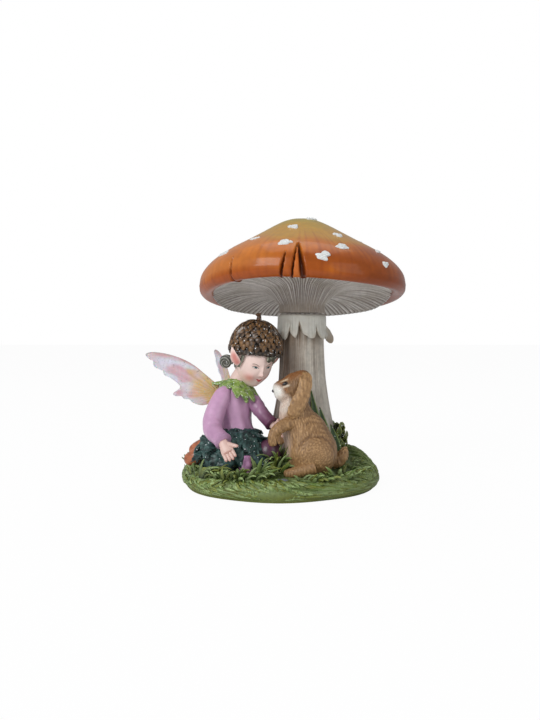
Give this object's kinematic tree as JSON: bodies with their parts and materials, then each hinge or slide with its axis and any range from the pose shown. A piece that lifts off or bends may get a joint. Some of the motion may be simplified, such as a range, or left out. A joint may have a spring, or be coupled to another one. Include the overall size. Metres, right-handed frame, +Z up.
{
  "type": "fairy figurine",
  "caption": "Painted resin garden figurine: a kneeling fairy girl in an acorn hat strokes a lop-eared rabbit under a fluted toadstool on an oval turf base",
  "frame": {"origin": "the middle of the base's flat underside", "axes": "+Z up, -Y towards the viewer of the picture, +X to the viewer's right"},
  "size_m": [0.1453, 0.1184, 0.1494],
  "materials": {
    "painted_resin": "satin",
    "cap_resin": "glossy",
    "wing_resin": "satin"
  },
  "bodies": {
    "root": {"figurine_casting": "painted_resin", "mushroom_cap": "cap_resin", "wing_right": "wing_resin", "wing_left": "wing_resin"}
  },
  "joints": []
}
